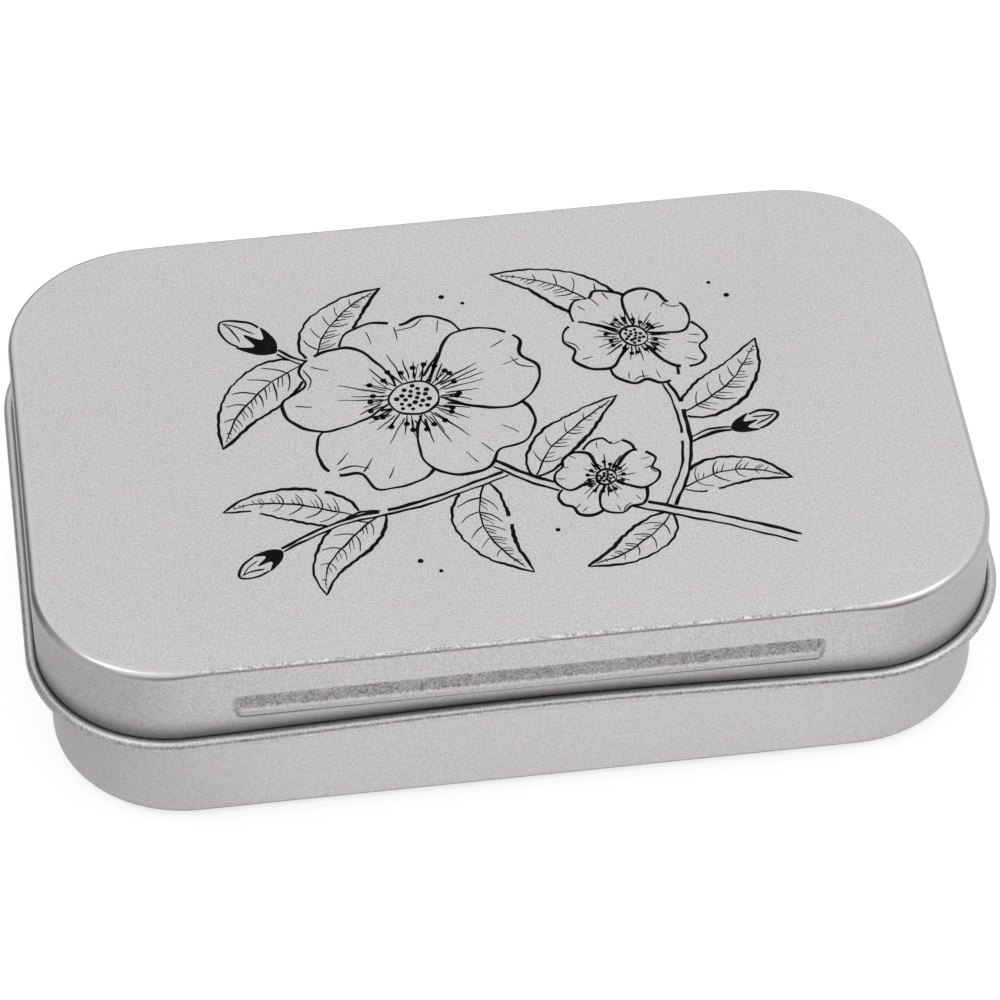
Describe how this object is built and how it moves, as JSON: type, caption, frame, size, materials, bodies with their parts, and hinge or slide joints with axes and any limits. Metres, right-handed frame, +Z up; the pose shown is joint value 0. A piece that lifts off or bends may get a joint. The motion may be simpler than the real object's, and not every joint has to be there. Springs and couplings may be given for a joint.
{
  "type": "hinged storage tin",
  "caption": "Flat rectangular storage tin with rounded corners: a shallow rolled-edge lid swings on ears of the base, with a long thumb ridge on its front.",
  "frame": {"origin": "middle of the footprint, on the table the closed tin stands on", "axes": "+X along the tin to its right end, +Y to the hinge at the back, +Z up"},
  "size_m": [0.095, 0.0637, 0.0207],
  "materials": {
    "tinplate": "matt, fine-grained"
  },
  "bodies": {
    "base": {"base": "tinplate"},
    "lid": {"lid": "tinplate"}
  },
  "joints": [
    {"name": "lid_hinge", "type": "hinge", "parent": "base", "child": "lid", "pos_m": [0, 0.03105, 0.0115], "axis": [-1, 0, 0], "range_deg": [0, 110]}
  ]
}
